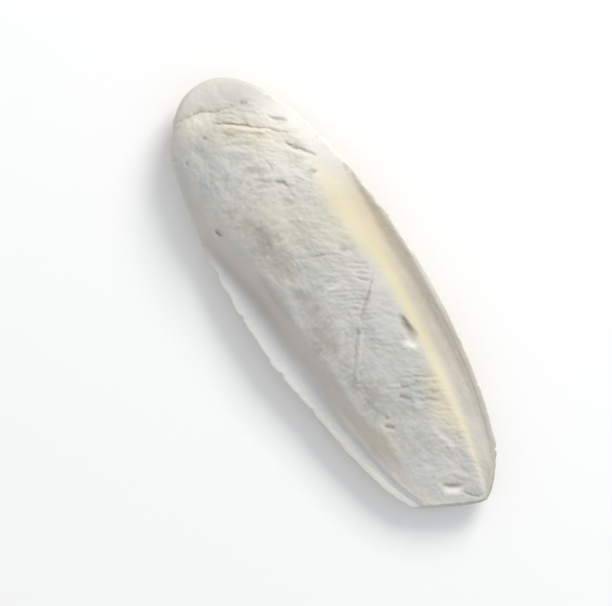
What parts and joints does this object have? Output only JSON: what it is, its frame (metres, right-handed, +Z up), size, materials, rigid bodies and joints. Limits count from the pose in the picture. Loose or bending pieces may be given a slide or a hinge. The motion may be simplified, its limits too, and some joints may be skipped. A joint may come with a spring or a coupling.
{
  "type": "cuttlebone",
  "caption": "Dry cuttlebone lying chalk side up: a long boat-shaped shield with thin side wings under a loaf of cracked white chalk, its tail end broken off slantwise.",
  "frame": {"origin": "under the middle of the bone, on the surface that it rests on", "axes": "+X to the blunt head end, +Y to the left edge, +Z up out of the chalk side; it lies on its hard shield"},
  "size_m": [0.152, 0.0544, 0.0186],
  "materials": {
    "cuttlebone_chalk": "matt, dry and powdery; warm white, cream along the margins"
  },
  "bodies": {
    "root": {"cuttlebone": "cuttlebone_chalk"}
  },
  "joints": []
}
